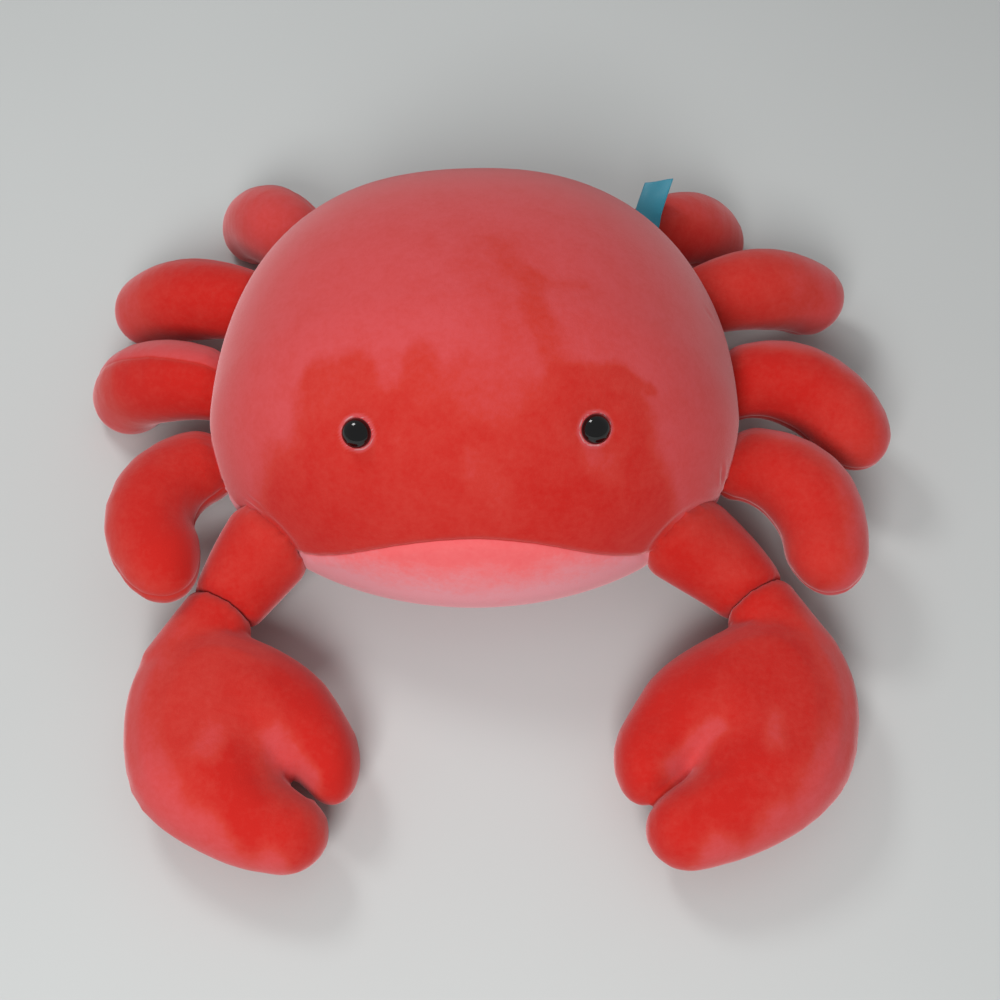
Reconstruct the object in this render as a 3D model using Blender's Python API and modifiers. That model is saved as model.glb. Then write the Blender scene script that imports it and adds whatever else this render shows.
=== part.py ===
"""Plush crab lying on its belly, modelled at its real size in metres.

+Z is up and the crab faces -Y. Left and right are those of someone who looks at its face, so left is -X.
The origin is the middle of the flat spot that the belly rests on. Every limb is placed from the body's
waist seam, every claw from its arm's wrist, and every sewn or pressed joint keeps SEWN_GAP.
"""
import math
from collections import namedtuple

import bmesh
import bpy
from mathutils import Euler, Matrix, Vector
from mathutils.geometry import interpolate_bezier

MM = 0.001

# Body: a stuffed dome over a shallower belly, joined at the waist seam
BODY_HALF_WIDTH = 144 * MM
BODY_FRONT = 105 * MM
BODY_BACK = 155 * MM
WAIST_HEIGHT = 54 * MM
DOME_RISE = 122 * MM
BELLY_DEPTH = 60 * MM
FRONT_FULLNESS = 2.0
BACK_FULLNESS = 2.35
DOME_FULLNESS = 2.05
BELLY_FULLNESS = 2.1
ARCH_CLIMB = math.radians(21.5)
ARCH_SPREAD = math.radians(42)
BODY_SEGMENTS = 48
BODY_BANDS = 12

# Clearance between pieces that are sewn or pressed together
SEWN_GAP = 0.3 * MM

# Legs: one pattern, eight poses. A leg swells to its full radius over LEG_SWELL, then tapers to its tip.
LEG_LENGTH = 100 * MM
LEG_RADIUS = 22.5 * MM
LEG_ROOT_RADIUS = 18 * MM
LEG_TIP_RADIUS = 20 * MM
LEG_HEIGHT_DROP = 4 * MM
LEG_ROOT_DEPTH = 28 * MM
LEG_SWELL = 50 * MM
LEG_SIDES = 16
LEG_BANDS = 16

# Arms
ARM_REACH = 40 * MM
ARM_ROOT_RADIUS = 26 * MM
ARM_ROOT_DEPTH = 34 * MM
ARM_TAPER_FROM = 0.3
ARM_SIDES = 20
ARM_BANDS = 12
ARM_CURVE_STEPS = 33
WRIST_RADIUS = 18.5 * MM
WRIST_HEIGHT = 35 * MM

# Claws, measured from the wrist: forward, and across towards the bite
CLAW_LENGTH = 112 * MM
CLAW_THICKNESS = 60 * MM
CLAW_BITE = 2 * MM
CLAW_STUB = 44 * MM
CLAW_STUB_RADIUS = 22 * MM
STUB_BANDS = 6
FINGER_CAP = 21 * MM
THUMB_CAP = 21 * MM
CLAW_SIDES = 16
CLAW_BANDS = 34
BITE_RUN = 4

# Bands of a tube that make its round end
END_BANDS = 4

# Safety eyes
EYE_TURN = math.radians(34.7)
FACE_TURN = math.radians(1.6)
EYE_CLIMB = math.radians(45.5)
EYE_RADIUS = 7.5 * MM
EYE_DOME = 6.5 * MM
EYE_RIM = 0.8 * MM
EYE_SEAT = 1.2 * MM
STEM_RADIUS = 2.5 * MM
STEM_LENGTH = 15 * MM
WASHER_RADIUS = 9 * MM
WASHER_THICKNESS = 2 * MM
WASHER_DEPTH = 6 * MM
TURNED_STEPS = 24

# Label: a ribbon folded in two and sewn in where the rear right leg meets the dome
LABEL_TURN = math.radians(51.5)
LABEL_CLIMB = math.radians(8.5)
LABEL_SKEW = math.radians(18)
LABEL_WIDTH = 19 * MM
LABEL_LENGTH = 34 * MM
LABEL_SEWN = 6 * MM
LABEL_LIFT = math.radians(31)
LABEL_BEND = 14 * MM
RIBBON_THICKNESS = 0.5 * MM
RIBBON_SPREAD = 0.55 * MM
RIBBON_STEPS = 12

# A leg leaves the waist seam at a turn round the body, with a heading, a pitch up and a roll of its own,
# and curls over its length. All of them are in degrees.
Leg = namedtuple("Leg", "name side turn heading pitch roll curl")
LEGS = (
    Leg("leg_left_1", -1, 129, 127, 10, 2, 91),
    Leg("leg_left_2", -1, 149, 166, 10, -3, 75),
    Leg("leg_left_3", -1, 171, 169, 10, -9, 102),
    Leg("leg_left_4", -1, 191, 192, 6, 92, 148),
    Leg("leg_right_1", 1, 54, 38, 10, 2, 95),
    Leg("leg_right_2", 1, 32, 20, 14, 9, 70),
    Leg("leg_right_3", 1, 9, 22, 8, 74, 114),
    Leg("leg_right_4", 1, -11, -3, 11, 77, 122),
)

# An arm's reach runs from the waist seam to the wrist, and its claw has a heading of its own. The bite
# narrows by its value at the finger and the thumb, and spread widens the claw. Angles are in degrees.
Arm = namedtuple("Arm", "name claw side turn reach reach_heading claw_heading bite spread")
ARMS = (
    Arm("arm_left", "claw_left", -1, 221, ARM_REACH, -125, -118, 2 * CLAW_BITE, 0.97),
    Arm("arm_right", "claw_right", 1, -41, 1.2 * ARM_REACH, -34, -60, CLAW_BITE, 1.04),
)

# The claw's outline from the finger round the palm to the thumb: the outer edge and the edge at the bite,
# both forward and across in shares of the claw's length, and the share of its thickness there.
CLAW_STATIONS = (
    ((0.965, 0.850), (0.595, 0.850), 0.73),
    ((1.000, 0.710), (0.585, 0.790), 0.80),
    ((1.015, 0.530), (0.580, 0.760), 0.87),
    ((1.005, 0.320), (0.570, 0.745), 0.93),
    ((0.935, 0.130), (0.565, 0.735), 1.00),
    ((0.770, -0.030), (0.562, 0.732), 1.00),
    ((0.560, -0.150), (0.560, 0.730), 1.00),
    ((0.340, -0.195), (0.558, 0.730), 1.00),
    ((0.170, -0.150), (0.556, 0.732), 1.00),
    ((0.085, 0.030), (0.555, 0.736), 1.00),
    ((0.064, 0.236), (0.555, 0.741), 0.95),
    ((0.065, 0.445), (0.555, 0.745), 0.87),
    ((0.100, 0.640), (0.560, 0.768), 0.77),
    ((0.200, 0.820), (0.575, 0.840), 0.70),
)


def new_material(name, colour, roughness):
    material = bpy.data.materials.new(name)
    material.use_nodes = True
    shader = material.node_tree.nodes["Principled BSDF"]
    shader.inputs["Base Color"].default_value = (*colour, 1)
    shader.inputs["Roughness"].default_value = roughness
    shader.inputs["Metallic"].default_value = 0
    return material


def new_object(name, bm, material, collection):
    """A named object from a bmesh, its faces turned outwards and shaded smooth."""
    bmesh.ops.recalc_face_normals(bm, faces=bm.faces)
    mesh = bpy.data.meshes.new(name)
    bm.to_mesh(mesh)
    bm.free()
    mesh.materials.append(material)
    mesh.shade_smooth()
    obj = bpy.data.objects.new(name, mesh)
    collection.objects.link(obj)
    if collection.name == "cutters":
        obj.hide_render = True
        obj.display_type = "WIRE"
    return obj


def add_boolean(obj, operation, other):
    modifier = obj.modifiers.new(f"{operation.lower()}_{other.name}", "BOOLEAN")
    modifier.operation = operation
    modifier.solver = "EXACT"
    modifier.object = other


def signed_power(value, power):
    return math.copysign(abs(value) ** power, value)


def body_point(turn, climb, grow=0.0):
    """Point of the body's skin: turned round Z from +X, and climbing from the belly (-90) to the crown (90)."""
    behind = math.sin(turn) > 0
    plan_power = 2 / (BACK_FULLNESS if behind else FRONT_FULLNESS)
    side_power = 2 / (DOME_FULLNESS if climb > 0 else BELLY_FULLNESS)
    depth = (BODY_BACK if behind else BODY_FRONT) + grow
    height = (DOME_RISE if climb > 0 else BELLY_DEPTH) + grow
    ring = max(math.cos(climb), 0) ** side_power
    return Vector((
        (BODY_HALF_WIDTH + grow) * ring * signed_power(math.cos(turn), plan_power),
        depth * ring * signed_power(math.sin(turn), plan_power),
        WAIST_HEIGHT + height * signed_power(math.sin(climb), side_power),
    ))


def body_normal(turn, climb):
    step = math.radians(1)
    along = body_point(turn + step, climb) - body_point(turn - step, climb)
    upward = body_point(turn, climb + step) - body_point(turn, climb - step)
    return along.cross(upward).normalized()


def waist_climb(turn):
    """How far the waist seam climbs: nothing at the sides and back, and an arch over the belly at the front."""
    from_front = math.remainder(turn + math.pi / 2, 2 * math.pi)
    share = min(abs(from_front) / ARCH_SPREAD, 1)
    return ARCH_CLIMB * (1 - share**2) ** 1.5


def skin_climb(turn, latitude):
    """The climb of a sphere's latitude, when its equator is laid on the waist seam."""
    waist = waist_climb(turn)
    share = latitude / (math.pi / 2)
    return waist + share * (math.pi / 2 - waist if latitude > 0 else math.pi / 2 + waist)


def sphere_angles(point):
    return math.atan2(point.y, point.x), math.asin(max(-1, min(1, point.z)))


def body_sphere():
    """The sphere that every skin of the body starts from, with the same triangles each time."""
    bm = bmesh.new()
    bmesh.ops.create_uvsphere(bm, u_segments=BODY_SEGMENTS, v_segments=2 * BODY_BANDS, radius=1)
    bmesh.ops.triangulate(bm, faces=bm.faces, quad_method="FIXED")
    return bm


def make_body_half(name, upper, material, collection):
    """The dome or the belly: half a sphere, closed at the waist, then laid on the body's skin."""
    bm = body_sphere()
    way = 1 if upper else -1
    other_half = [vert for vert in bm.verts if vert.co.z * way < -1e-4]
    bmesh.ops.delete(bm, geom=other_half, context="VERTS")
    rim = [edge for edge in bm.edges if edge.is_boundary]
    lid = bmesh.ops.holes_fill(bm, edges=rim, sides=0)["faces"]
    middle = bmesh.ops.poke(bm, faces=lid)["verts"][0]
    for vert in bm.verts:
        turn, latitude = sphere_angles(vert.co)
        on_waist = abs(latitude) < 1e-4
        if vert is middle:
            vert.co = Vector((0, 0, WAIST_HEIGHT))
        else:
            vert.co = body_point(turn, skin_climb(turn, latitude))
        if on_waist:
            vert.co.z += way * SEWN_GAP / 2
        vert.co.z = max(vert.co.z, 0)
    return new_object(name, bm, material, collection)


def make_body_cutter(material, cutters):
    """The whole body, larger by the gap, which ends the legs and arms at its skin."""
    bm = body_sphere()
    for vert in bm.verts:
        turn, latitude = sphere_angles(vert.co)
        vert.co = body_point(turn, skin_climb(turn, latitude), SEWN_GAP)
    return new_object("body_cutter", bm, material, cutters)


def swept_skin(segments, bands, spine, round_start=0, round_end=0):
    """A stuffed tube from a sphere: its bands become sections of the spine and its poles the two ends.

    The spine gives the middle, the half width and the half height of the section at a share of its length.
    round_start and round_end are the share that each round end takes, or 0 for a flat one.
    """
    bm = bmesh.new()
    bmesh.ops.create_uvsphere(bm, u_segments=segments, v_segments=bands, radius=1)
    start_bands = END_BANDS if round_start else 1
    end_bands = END_BANDS if round_end else 1
    for vert in bm.verts:
        around, latitude = sphere_angles(vert.co)
        band = round((latitude / math.pi + 0.5) * bands)
        if band < start_bands:
            angle = math.pi / 2 * band / start_bands
            share, fill = (round_start * (1 - math.cos(angle)), math.sin(angle)) if round_start else (0, 0)
        elif band > bands - end_bands:
            angle = math.pi / 2 * (bands - band) / end_bands
            share, fill = (1 - round_end * (1 - math.cos(angle)), math.sin(angle)) if round_end else (1, 0)
        else:
            step = (band - start_bands) / (bands - end_bands - start_bands)
            share = round_start + step * (1 - round_end - round_start)
            fill = 1
        middle, half_width, half_height = spine(share)
        vert.co = middle + fill * (math.cos(around) * half_width + math.sin(around) * half_height)
    return bm


def rest_on_floor(bm, placement):
    """Flattens whatever would reach below the floor once the mesh is placed."""
    back = placement.inverted()
    for vert in bm.verts:
        placed = placement @ vert.co
        if placed.z < 0:
            placed.z = 0
            vert.co = back @ placed


def leg_spine(curl):
    """An arc that starts inside the body along +X and curls towards -Z."""
    total = LEG_ROOT_DEPTH + LEG_LENGTH

    def section(share):
        run = share * total - LEG_ROOT_DEPTH
        angle = curl * max(run, 0) / LEG_LENGTH
        arc = LEG_LENGTH / curl
        middle = Vector((arc * math.sin(angle) + min(run, 0), 0, -arc * (1 - math.cos(angle))))
        swell = math.sin(math.pi / 2 * min(max(run, 0) / LEG_SWELL, 1))
        radius = LEG_ROOT_RADIUS + (LEG_RADIUS - LEG_ROOT_RADIUS) * swell
        radius += (LEG_TIP_RADIUS - LEG_RADIUS) * max(run - LEG_SWELL, 0) / (LEG_LENGTH - LEG_SWELL)
        outward = Vector((math.sin(angle), 0, math.cos(angle)))
        return middle, Vector((0, radius, 0)), outward * radius

    return section


def make_leg(leg, material, collection, body_cutter):
    curl = math.radians(leg.curl)
    turn = math.radians(leg.turn)
    bm = swept_skin(LEG_SIDES, LEG_BANDS, leg_spine(curl), round_end=LEG_TIP_RADIUS / (LEG_ROOT_DEPTH + LEG_LENGTH))
    root = body_point(turn, 0)
    root.z -= LEG_HEIGHT_DROP
    angles = (-leg.side * math.radians(leg.roll), -math.radians(leg.pitch), math.radians(leg.heading))
    placement = Matrix.LocRotScale(root, Euler(angles), None)
    rest_on_floor(bm, placement)
    obj = new_object(leg.name, bm, material, collection)
    obj.location = root
    obj.rotation_euler = angles
    add_boolean(obj, "DIFFERENCE", body_cutter)
    return obj


def heading_vector(degrees):
    return Vector((math.cos(math.radians(degrees)), math.sin(math.radians(degrees)), 0))


def wrist_of(arm):
    """The wrist's middle: the arm's reach out from the waist seam, at the wrist's own height."""
    wrist = body_point(math.radians(arm.turn), 0) + heading_vector(arm.reach_heading) * arm.reach
    wrist.z = WRIST_HEIGHT
    return wrist


def make_arm(arm, material, collection, body_cutter):
    """A tapered tube on a curve from inside the body to the wrist, where it ends flat."""
    turn = math.radians(arm.turn)
    seam = body_point(turn, 0)
    outward = body_normal(turn, 0)
    forward = heading_vector(arm.claw_heading)
    wrist = wrist_of(arm)
    controls = (seam - outward * ARM_ROOT_DEPTH, seam, wrist - forward * arm.reach / 2, wrist)
    curve = interpolate_bezier(*[point - seam for point in controls], ARM_CURVE_STEPS)

    def section(share):
        place = share * (len(curve) - 1)
        low = min(int(place), len(curve) - 2)
        middle = curve[low].lerp(curve[low + 1], place - low)
        ahead = (curve[low + 1] - curve[low]).normalized()
        if share == 1:
            ahead = forward
        sideways = ahead.cross(Vector((0, 0, 1))).normalized()
        taper = max(share - ARM_TAPER_FROM, 0) / (1 - ARM_TAPER_FROM)
        radius = ARM_ROOT_RADIUS + (WRIST_RADIUS - ARM_ROOT_RADIUS) * taper
        return middle, sideways * radius, sideways.cross(ahead) * radius

    bm = swept_skin(ARM_SIDES, ARM_BANDS, section)
    obj = new_object(arm.name, bm, material, collection)
    obj.location = seam
    add_boolean(obj, "DIFFERENCE", body_cutter)
    return obj


def through(before, start, end, after, share):
    """A smooth curve through the second and third of four values."""
    bend = (2 * before - 5 * start + 4 * end - after) * share**2
    twist = (3 * start - before - 3 * end + after) * share**3
    return 0.5 * (2 * start + (end - before) * share + bend + twist)


def claw_station(place):
    """The claw's outer edge, bite edge and thickness at a place along its stations, in metres."""
    last = len(CLAW_STATIONS) - 1
    low = min(max(int(place), 0), last - 1)
    picks = [CLAW_STATIONS[min(max(low + step, 0), last)] for step in (-1, 0, 1, 2)]
    rows = [
        Vector((*(Vector((*outer, *inner)) * CLAW_LENGTH), share * CLAW_THICKNESS))
        for outer, inner, share in picks
    ]
    return through(*rows, place - low)


def claw_spine(arm):
    """Sections that run round the bite, from the finger's tip through the palm to the thumb's."""
    side = -arm.side
    last = len(CLAW_STATIONS) - 1
    length = sum(
        (claw_middle(step + 1) - claw_middle(step)).length for step in range(last)
    )
    total = FINGER_CAP + length + THUMB_CAP
    start, end = FINGER_CAP / total, 1 - THUMB_CAP / total

    def section(share):
        place = last * min(max((share - start) / (end - start), 0), 1)
        row = claw_station(place)
        outer, inner, thickness = row[0:2], row[2:4], row[4]
        opening = arm.bite / 2 * (1 if place < last / 2 else -1) * min(abs(place - last / 2) / BITE_RUN, 1)
        outer = Vector((outer[0], outer[1] * arm.spread))
        inner = Vector((inner[0] + opening, inner[1] * arm.spread))
        middle = (outer + inner) / 2
        beyond = min(share - start, 0) + max(share - end, 0)
        if beyond:
            tip = claw_middle(place) - claw_middle(place + (1 if beyond < 0 else -1))
            middle += tip.normalized() * abs(beyond) * total
        half = (outer - inner) / 2
        height = CLAW_THICKNESS / 2 - WRIST_HEIGHT
        return (
            Vector((middle.x, side * middle.y, height)),
            Vector((half.x, side * half.y, 0)),
            Vector((0, 0, thickness / 2)),
        )

    return section, start, 1 - end


def claw_middle(place):
    row = claw_station(place)
    return Vector(((row[0] + row[2]) / 2, (row[1] + row[3]) / 2))


def stub_section(share):
    """The wrist's stub, from the arm's flat end into the palm."""
    radius = WRIST_RADIUS + (CLAW_STUB_RADIUS - WRIST_RADIUS) * share
    height = (CLAW_THICKNESS / 2 - WRIST_HEIGHT) * share
    return Vector((CLAW_STUB * share, 0, height)), Vector((0, radius, 0)), Vector((0, 0, radius))


def make_claw(arm, material, collection, cutters):
    """Palm, finger and thumb swept round the bite, joined to a stub that meets the arm at the wrist."""
    section, start, end = claw_spine(arm)
    palm = swept_skin(CLAW_SIDES, CLAW_BANDS, section, round_start=start, round_end=end)
    forward = heading_vector(arm.claw_heading)
    wrist = wrist_of(arm) + forward * SEWN_GAP
    placement = Matrix.Translation(wrist) @ Matrix.Rotation(math.radians(arm.claw_heading), 4, "Z")
    rest_on_floor(palm, placement)
    obj = new_object(arm.claw, palm, material, collection)
    stub = new_object(f"{arm.claw}_stub", swept_skin(ARM_SIDES, STUB_BANDS, stub_section), material, cutters)
    for piece in (obj, stub):
        piece.location = wrist
        piece.rotation_euler.z = math.radians(arm.claw_heading)
    add_boolean(obj, "UNION", stub)
    return obj


def make_turned(name, profile, material, collection, closed=False):
    """A turned piece: the profile runs down its outer side, and goes round the local Z axis."""
    mesh = bpy.data.meshes.new(name)
    bm = bmesh.new()
    verts = [bm.verts.new((radius, 0, height)) for radius, height in profile]
    pairs = list(zip(verts, verts[1:]))
    if closed:
        pairs.append((verts[-1], verts[0]))
    for pair in pairs:
        bm.edges.new(pair)
    bm.to_mesh(mesh)
    bm.free()
    mesh.materials.append(material)
    obj = bpy.data.objects.new(name, mesh)
    collection.objects.link(obj)
    screw = obj.modifiers.new("turn", "SCREW")
    screw.steps = screw.render_steps = TURNED_STEPS
    screw.use_merge_vertices = True
    screw.merge_threshold = 0.00001
    screw.use_smooth_shade = True
    if collection.name == "cutters":
        obj.hide_render = True
        obj.display_type = "WIRE"
    return obj


def place_on_skin(obj, turn, climb):
    """Sets the object's origin on the skin, with its +Z out of the body."""
    obj.location = body_point(turn, climb)
    obj.rotation_euler = body_normal(turn, climb).to_track_quat("Z", "Y").to_euler()


def make_eye(name, turn, materials, collection, cutters, body_top):
    """A safety eye: its dome seats in the pile, its stem runs inside and a washer locks it there."""
    back = -EYE_SEAT
    stem_end = back - STEM_LENGTH
    washer_top = back - WASHER_DEPTH
    washer_end = washer_top - WASHER_THICKNESS
    arc = [math.radians(90 - 15 * step) for step in range(7)]
    dome = [(EYE_RADIUS * math.cos(a), back + EYE_RIM + EYE_DOME * math.sin(a)) for a in arc]
    dome[0] = (0, dome[0][1])
    stem = [(EYE_RADIUS, back), (STEM_RADIUS, back), (STEM_RADIUS, stem_end), (0, stem_end)]
    bore = STEM_RADIUS + SEWN_GAP
    washer = [(bore, washer_end), (bore, washer_top), (WASHER_RADIUS, washer_top), (WASHER_RADIUS, washer_end)]
    pocket = [
        (0, EYE_RADIUS),
        (EYE_RADIUS + SEWN_GAP, EYE_RADIUS),
        (EYE_RADIUS + SEWN_GAP, back - SEWN_GAP),
        (bore, back - SEWN_GAP),
        (bore, washer_top + SEWN_GAP),
        (WASHER_RADIUS + SEWN_GAP, washer_top + SEWN_GAP),
        (WASHER_RADIUS + SEWN_GAP, washer_end - SEWN_GAP),
        (bore, washer_end - SEWN_GAP),
        (bore, stem_end - SEWN_GAP),
        (0, stem_end - SEWN_GAP),
    ]
    eye = make_turned(name, dome + stem, materials["eye"], collection)
    lock = make_turned(name.replace("eye", "eye_washer"), washer, materials["washer"], collection, closed=True)
    cutter = make_turned(f"{name}_pocket", pocket, materials["eye"], cutters)
    for piece in (eye, lock, cutter):
        place_on_skin(piece, turn, EYE_CLIMB)
    add_boolean(body_top, "DIFFERENCE", cutter)


def label_path():
    """The ribbon's side view from the seam allowance out: distance along the waist's normal, and height."""
    points = []
    stride = (LABEL_SEWN + LABEL_LENGTH) / RIBBON_STEPS
    place = Vector((-LABEL_SEWN, 0))
    for step in range(RIBBON_STEPS + 1):
        lift = LABEL_LIFT * min(max(step * stride - LABEL_SEWN, 0) / LABEL_BEND, 1)
        points.append((place.copy(), Vector((-math.sin(lift), math.cos(lift)))))
        place += Vector((math.cos(lift), math.sin(lift))) * stride
    return points


def make_label(material, collection, cutters, body_top):
    """A ribbon folded in two: out along its upper layer, round the fold and back along the lower one."""
    path = label_path()
    upper = [point + across * RIBBON_SPREAD for point, across in path]
    lower = [point - across * RIBBON_SPREAD for point, across in reversed(path)]
    end, across = path[-1]
    ahead = Vector((across.y, -across.x))
    fold = [
        end + (across * math.cos(a) + ahead * math.sin(a)) * RIBBON_SPREAD
        for a in (math.radians(45), math.radians(90), math.radians(135))
    ]
    bm = bmesh.new()
    verts = [bm.verts.new((point.x, -LABEL_WIDTH / 2, point.y)) for point in upper + fold + lower]
    edges = [bm.edges.new(pair) for pair in zip(verts, verts[1:])]
    sweep = bmesh.ops.extrude_edge_only(bm, edges=edges)["geom"]
    moved = [item for item in sweep if isinstance(item, bmesh.types.BMVert)]
    bmesh.ops.translate(bm, verts=moved, vec=(0, LABEL_WIDTH, 0))
    label = new_object("label", bm, material, collection)
    solidify = label.modifiers.new("ribbon", "SOLIDIFY")
    solidify.thickness = RIBBON_THICKNESS
    solidify.offset = 0
    bm = bmesh.new()
    bmesh.ops.create_cube(bm, size=1)
    thick = 2 * (RIBBON_SPREAD + RIBBON_THICKNESS / 2 + SEWN_GAP)
    sizes = (2 * (LABEL_SEWN + SEWN_GAP), LABEL_WIDTH + 2 * SEWN_GAP, thick)
    bmesh.ops.scale(bm, verts=bm.verts, vec=sizes)
    slot = new_object("label_slot", bm, material, cutters)
    outward = body_normal(LABEL_TURN, LABEL_CLIMB)
    for piece in (label, slot):
        piece.location = body_point(LABEL_TURN, LABEL_CLIMB)
        piece.rotation_euler.z = math.atan2(outward.y, outward.x) + LABEL_SKEW
    add_boolean(body_top, "DIFFERENCE", slot)


def main():
    for obj in list(bpy.data.objects):
        bpy.data.objects.remove(obj, do_unlink=True)
    crab = bpy.data.collections.new("plush_crab")
    cutters = bpy.data.collections.new("cutters")
    for collection in (crab, cutters):
        bpy.context.scene.collection.children.link(collection)
    materials = {
        "velvet": new_material("red_velvet", (0.58, 0.035, 0.03), 0.9),
        "belly": new_material("pink_velvet", (0.85, 0.17, 0.19), 0.9),
        "eye": new_material("black_plastic", (0.01, 0.01, 0.012), 0.15),
        "washer": new_material("white_nylon", (0.8, 0.8, 0.78), 0.5),
        "label": new_material("teal_satin", (0.015, 0.2, 0.3), 0.4),
    }
    body_cutter = make_body_cutter(materials["velvet"], cutters)
    body_top = make_body_half("body_top", True, materials["velvet"], crab)
    belly = make_body_half("belly", False, materials["belly"], crab)
    for leg in LEGS:
        make_leg(leg, materials["velvet"], crab, body_cutter)
    for arm in ARMS:
        make_arm(arm, materials["velvet"], crab, body_cutter)
        make_claw(arm, materials["velvet"], crab, cutters)
    front = FACE_TURN - math.pi / 2
    make_eye("eye_left", front - EYE_TURN, materials, crab, cutters, body_top)
    make_eye("eye_right", front + EYE_TURN, materials, crab, cutters, body_top)
    make_label(materials["label"], crab, cutters, body_top)


main()
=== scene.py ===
"""Plush crab lying on its belly: the sewn and stuffed surface of every piece, over the part's own solids.

Lengths are in metres, +Z is up and the crab faces -Y. Left and right are those of someone facing the crab.
"""

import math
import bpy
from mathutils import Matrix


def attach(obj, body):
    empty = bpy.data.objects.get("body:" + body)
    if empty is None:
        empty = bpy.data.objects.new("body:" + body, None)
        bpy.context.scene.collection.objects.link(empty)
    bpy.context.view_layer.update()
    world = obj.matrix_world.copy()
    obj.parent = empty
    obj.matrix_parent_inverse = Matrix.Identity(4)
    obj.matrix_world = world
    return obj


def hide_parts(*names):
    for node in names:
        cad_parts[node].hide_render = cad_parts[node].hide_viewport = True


bl_info = {
    "name": "Plush Crab",
    "version": (1, 0, 0),
    "blender": (4, 5, 0),
    "location": "3D View > Sidebar > Plush Crab",
    "description": "Makes a stuffed velvet crab with its seams, safety eyes and ribbon label",
    "category": "Object",
}

import bmesh
import bpy
import numpy as np
from mathutils import Euler, Matrix, Vector, noise
from mathutils.kdtree import KDTree

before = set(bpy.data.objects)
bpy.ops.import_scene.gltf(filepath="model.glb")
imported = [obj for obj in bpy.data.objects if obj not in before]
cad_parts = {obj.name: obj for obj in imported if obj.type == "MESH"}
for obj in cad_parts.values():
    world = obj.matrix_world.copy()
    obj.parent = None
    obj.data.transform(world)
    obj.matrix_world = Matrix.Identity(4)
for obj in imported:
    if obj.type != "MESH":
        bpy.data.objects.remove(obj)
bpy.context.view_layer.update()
MM = 0.001

# The body is a superellipsoid, with its front and back and its dome and belly each of their own fullness.
HALF_WIDTH = 144 * MM
FRONT_DEPTH = 105 * MM
BACK_DEPTH = 155 * MM
WAIST_HEIGHT = 54 * MM
DOME_RISE = 122 * MM
BELLY_DROP = 60 * MM
PLAN_POWER = (2.0, 2.35)
SIDE_POWER = (2.1, 2.05)
ARCH_CLIMB = math.radians(21.5)
ARCH_SPREAD = math.radians(42)
LEG_LENGTH = 100 * MM
LEG_DROP = 4 * MM

# Each limb's seam runs round its root at this distance, and its cloth is tucked into the seam.
LEG_ROOT = 19 * MM
ARM_ROOT = 21.5 * MM
SEAM_TUCK = 2.2 * MM
HALF_GAP = 0.15 * MM

# Where each leg leaves the body and how it lies, in degrees: turn round the body, heading, pitch, roll and
# curl, and the turn of its own seam. Then the nap of its far panel, its root, its tip and its outer rim.
# These naps follow the light as well as the pile: the paler tips and outer rims are painted sheen, and the
# deep tip of leg_left_4 is painted shade.
LEGS = {
    "leg_left_1": (129, 127, 10, 2, 91, -50, 0.85, 0.7, 0.6, 0),
    "leg_left_2": (149, 166, 10, -3, 75, -45, 0.95, 0.05, 1.0, 0),
    "leg_left_3": (171, 169, 10, -9, 102, -5, 1.0, 0.05, 1.05, 0),
    "leg_left_4": (191, 192, 6, 92, 148, 0, 0.25, 0.15, -0.1, 0.4),
    "leg_right_1": (54, 38, 10, 2, 95, 68, 0.5, 0.1, 0.75, 0.5),
    "leg_right_2": (32, 20, 14, 9, 70, 45, 0.95, 0.3, 1.0, 0),
    "leg_right_3": (9, 22, 8, 74, 114, 0, 0.3, 0.05, 0.4, 1.05),
    "leg_right_4": (-11, -3, 11, 77, 122, 0, 0.3, 0.15, 0.3, 1.0),
}

# Each arm's turn round the body, its reach, the reach's heading and its claw's heading.
ARMS = {
    "left": (221, 40 * MM, -125, -118),
    "right": (-41, 48 * MM, -34, -60),
}
WRIST_HEIGHT = 35 * MM
CLAW_SEAM = 14 * MM


def srgb(code):
    """A linear colour, with alpha, from an sRGB hex value such as #cb2d28."""
    levels = [int(code[place:place + 2], 16) / 255 for place in (1, 3, 5)]
    return (*[v / 12.92 if v <= 0.04045 else ((v + 0.055) / 1.055) ** 2.4 for v in levels], 1.0)


def set_inputs(tree, node, values, links):
    """Sets a node's inputs, by value or by a link from another node's socket."""
    for name, value in values.items():
        node.inputs[name].default_value = value
    for name, source in links.items():
        tree.links.new(source, node.inputs[name])


def add_node(tree, kind, settings=None, values=None, links=None):
    """A node with its settings, its sockets' values, and its links from other nodes' sockets."""
    node = tree.nodes.new(kind)
    for name, value in (settings or {}).items():
        setattr(node, name, value)
    set_inputs(tree, node, values or {}, links or {})
    return node


def new_material(name):
    material = bpy.data.materials.new(name)
    material.use_nodes = True
    tree = material.node_tree
    tree.nodes.clear()
    shader = add_node(tree, "ShaderNodeBsdfPrincipled")
    add_node(tree, "ShaderNodeOutputMaterial", links={"Surface": shader.outputs["BSDF"]})
    return material, tree, shader


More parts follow.
